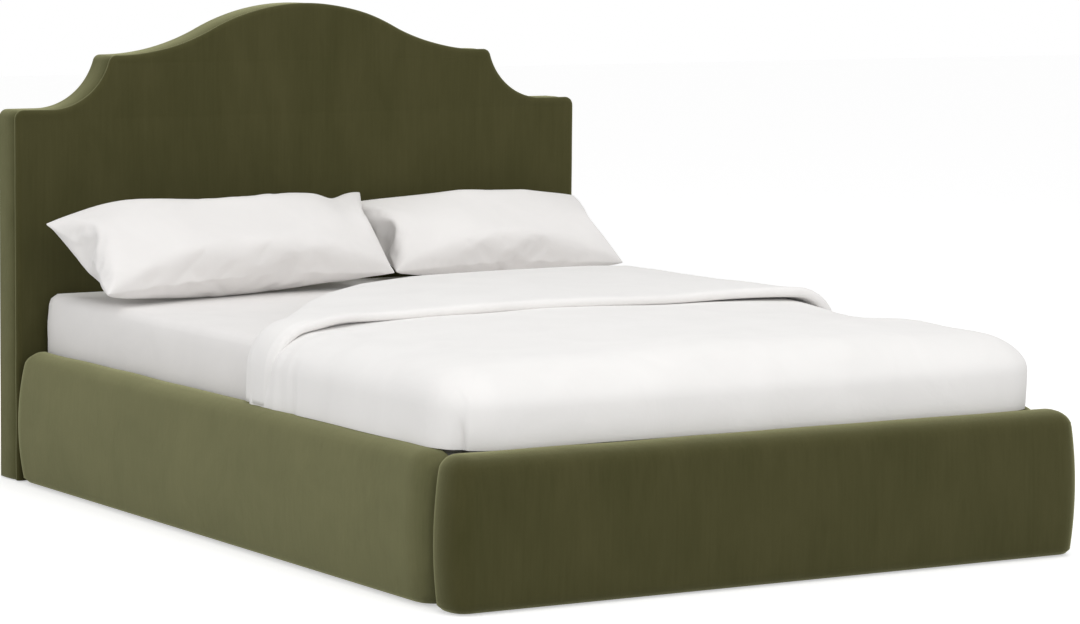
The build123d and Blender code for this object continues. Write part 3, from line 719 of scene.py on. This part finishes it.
zinc = metal("zinc_fastener", (0.60, 0.60, 0.58), 0.34, 1.0)
staple_points, staple_faces = [], []
staple_pitch, staple_inset, staple_half, wire_half = 0.06, 0.012, 0.005, 0.0006
for distance in np.arange(staple_pitch / 2, run[-1], staple_pitch):
    i = int(np.searchsorted(run, distance))
    middle, along, out = outline[i] - outward[i] * staple_inset, tangent[i], outward[i]
    first = len(staple_points)
    for y in (head_back - 0.0008, head_back + 0.0006):
        for a, b in ((-1, -1), (1, -1), (1, 1), (-1, 1)):
            x, z = middle + along * a * staple_half + out * b * wire_half
            staple_points.append((x, y, z))
    staple_faces += [tuple(first + k for k in face) for face in
                     ((0, 1, 2, 3), (7, 6, 5, 4), (0, 4, 5, 1), (1, 5, 6, 2), (2, 6, 7, 3), (3, 7, 4, 0))]
staples = mesh_piece("headboard_staples", staple_points, staple_faces, zinc, smooth=False)
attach(staples, "bed_frame")

# ------------------------------------------------------------------ frame, slats and mattress inside
# Parts under the upholstery and bedding: pine and plywood, foam, black steel angles, zinc screws,
# plastic glides, loose slats on straps, and the mattress layers. Their shapes come from the CAD.


def timber(name, light, dark, along, roughness=0.6):
    """Planed wood with its grain along one axis."""
    made, shader, node, link = material(name, light, roughness)
    scale = [1.0 if axis == along else 26.0 for axis in range(3)]
    rings = node("ShaderNodeTexNoise", links=[(object_coordinates(node, scale), "Vector")],
                 Scale=1.2, Detail=5, Roughness=0.6, Distortion=0.9)
    pores = node("ShaderNodeTexNoise", links=[(object_coordinates(node, [8 * c for c in scale]), "Vector")],
                 Scale=2, Detail=2)
    figure = blend(node, rings.outputs["Fac"], pores.outputs["Fac"], 0.3)
    link(ramp(node, figure, [(0.36, dark), (0.60, light)]), shader.inputs["Base Color"])
    link(relief(node, pores.outputs["Fac"], 0.2, 0.0004), shader.inputs["Normal"])
    return made


def plywood(name, thickness):
    """Birch plywood, its plies showing as bands across the thickness axis."""
    made, shader, node, link = material(name, (0.62, 0.46, 0.28), 0.62)
    face = node("ShaderNodeTexNoise", links=[(object_coordinates(node, (3, 3, 18)), "Vector")],
                Scale=2, Detail=6, Roughness=0.6, Distortion=0.6)
    plies = node("ShaderNodeTexWave", {"bands_direction": thickness}, [(object_coordinates(node), "Vector")],
                 Scale=90, Distortion=0.3)
    figure = blend(node, face.outputs["Fac"], plies.outputs["Fac"], 0.35)
    tone = ramp(node, figure, [(0.25, (0.42, 0.28, 0.15)), (0.7, (0.66, 0.50, 0.31))])
    link(tone, shader.inputs["Base Color"])
    link(relief(node, face.outputs["Fac"], 0.15, 0.0004), shader.inputs["Normal"])
    return made


def foam(name, colour, cell):
    """Open-cell foam, pitted all over."""
    made, shader, node, link = material(name, colour, 0.95)
    pits = node("ShaderNodeTexVoronoi", links=[(object_coordinates(node), "Vector")], Scale=1 / cell)
    link(ramp(node, pits.outputs["Distance"], [(0.05, tuple(c * 0.75 for c in colour)), (0.5, colour)]),
         shader.inputs["Base Color"])
    link(relief(node, pits.outputs["Distance"], 0.4, 0.0006), shader.inputs["Normal"])
    return made


def plastic(name, colour):
    """Moulded plastic with a fine grain."""
    made, shader, node, link = material(name, colour, 0.5)
    grain = node("ShaderNodeTexNoise", links=[(object_coordinates(node), "Vector")], Scale=700, Detail=2)
    link(ramp(node, grain.outputs["Fac"], [(0.3, tuple(c * 0.8 for c in colour)), (0.7, colour)]),
         shader.inputs["Base Color"])
    link(relief(node, grain.outputs["Fac"], 0.2, 0.0003), shader.inputs["Normal"])
    return made


def dress(look, *names):
    """Give CAD parts their material."""
    for name in names:
        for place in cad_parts[name].material_slots:
            place.material = look


pine = ((0.68, 0.51, 0.31), (0.50, 0.33, 0.17))
pine_x, pine_y, pine_z = (timber(f"pine_{axis}", *pine, i) for i, axis in enumerate("xyz"))
dress(pine_x, "headboard_top_rail", "headboard_middle_rail", "headboard_bottom_rail",
      "headboard_fixing_blocks", "foot_rail_top_batten", "foot_rail_bottom_batten", "foot_rail_blocks")
dress(pine_z, "headboard_stile_left", "headboard_stile_right", "headboard_centre_stile")
dress(pine_y, "side_ledger_left", "side_ledger_right", "centre_beam")
dress(plywood("plywood_across", "Y"), "headboard_panel", "foot_rail_inner_board", "foot_rail_front_board")
dress(plywood("plywood_along", "X"), "side_rail_board_left", "side_rail_board_right")
dress(timber("slat_wood", (0.76, 0.62, 0.42), (0.60, 0.45, 0.27), 0), "slats")
dress(timber("leg_wood", (0.48, 0.34, 0.19), (0.33, 0.21, 0.11), 2, 0.45),
      "support_leg_foot", "support_leg_middle", "support_leg_head")
dress(foam("upholstery_foam", (0.74, 0.70, 0.50), 0.0016), "headboard_edge_foam")
dress(foam("mattress_foam", (0.80, 0.78, 0.70), 0.0020), "mattress_support_core")
dress(foam("comfort_foam", (0.72, 0.77, 0.82), 0.0012), "mattress_comfort_layer")
dress(cotton("ticking", (0.76, 0.76, 0.74), 900), "mattress_ticking")
dress(cotton("base_cloth", (0.50, 0.50, 0.49), 600), "mattress_base_cloth")
dress(cotton("webbing", (0.70, 0.67, 0.58), 320), "slat_straps")
dress(metal("bracket_steel", (0.035, 0.035, 0.038), 0.48, 0.0), "corner_bracket_head_left",
      "corner_bracket_head_right", "corner_bracket_foot_left", "corner_bracket_foot_right",
      "beam_hanger_head", "beam_hanger_foot")
dress(zinc, "bracket_bolts", "tee_nuts", "bracket_screws", "hanger_screws", "ledger_screws",
      "leg_dowel_screws")
dress(plastic("glide_plastic", (0.055, 0.055, 0.055)), "glides")

# ------------------------------------------------------------------ studio
# A pale floor, three large soft lights overhead, in front and at the left, and a light room all round.

bpy.ops.object.select_all(action="DESELECT")
bpy.ops.mesh.primitive_plane_add(size=40, location=(0, 0, 0))
floor = bpy.context.object
floor.name = "floor"
floor_look, shader, node, link = material("floor_paint", (0.76, 0.76, 0.76), 0.9)
shader.inputs["Emission Color"].default_value = (1, 1, 1, 1)
glow = node("ShaderNodeMath", {"operation": "MULTIPLY"},
            [(node("ShaderNodeLightPath").outputs["Is Camera Ray"], 0)])
glow.inputs[1].default_value = 0.50
link(glow.outputs["Value"], shader.inputs["Emission Strength"])
floor.data.materials.append(floor_look)

world = bpy.data.worlds.new("room")
bpy.context.scene.world = world
world.use_nodes = True
room_nodes, room_links = world.node_tree.nodes, world.node_tree.links
room_nodes["Background"].inputs["Strength"].default_value = 0.62
backdrop = room_nodes.new("ShaderNodeBackground")
backdrop.inputs["Color"].default_value = (1, 1, 1, 1)
seen = room_nodes.new("ShaderNodeLightPath")
either = room_nodes.new("ShaderNodeMixShader")
room_nodes["Background"].inputs["Color"].default_value = (1, 1, 1, 1)
room_links.new(seen.outputs["Is Camera Ray"], either.inputs["Fac"])
room_links.new(room_nodes["Background"].outputs["Background"], either.inputs[1])
room_links.new(backdrop.outputs["Background"], either.inputs[2])
room_links.new(either.outputs["Shader"], room_nodes["World Output"].inputs["Surface"])


def softbox(name, place, target, size, power):
    """Square area light aimed at a point."""
    data = bpy.data.lights.new(name, "AREA")
    data.size, data.energy = size, power
    lamp = bpy.data.objects.new(name, data)
    bpy.context.scene.collection.objects.link(lamp)
    lamp.location = place
    lamp.rotation_euler = (Vector(target) - Vector(place)).to_track_quat("-Z", "Y").to_euler()
    return lamp


softbox("overhead", (0.3, -0.8, 5.2), (0, 0, 0.4), 4.0, 80)
softbox("front", (-1.0, -7.0, 3.4), (0, 0, 0.4), 4.0, 140)
softbox("left_fill", (-6.0, -0.6, 2.4), (0, 0, 0.4), 3.5, 60)

bpy.context.scene.view_settings.view_transform = "Standard"
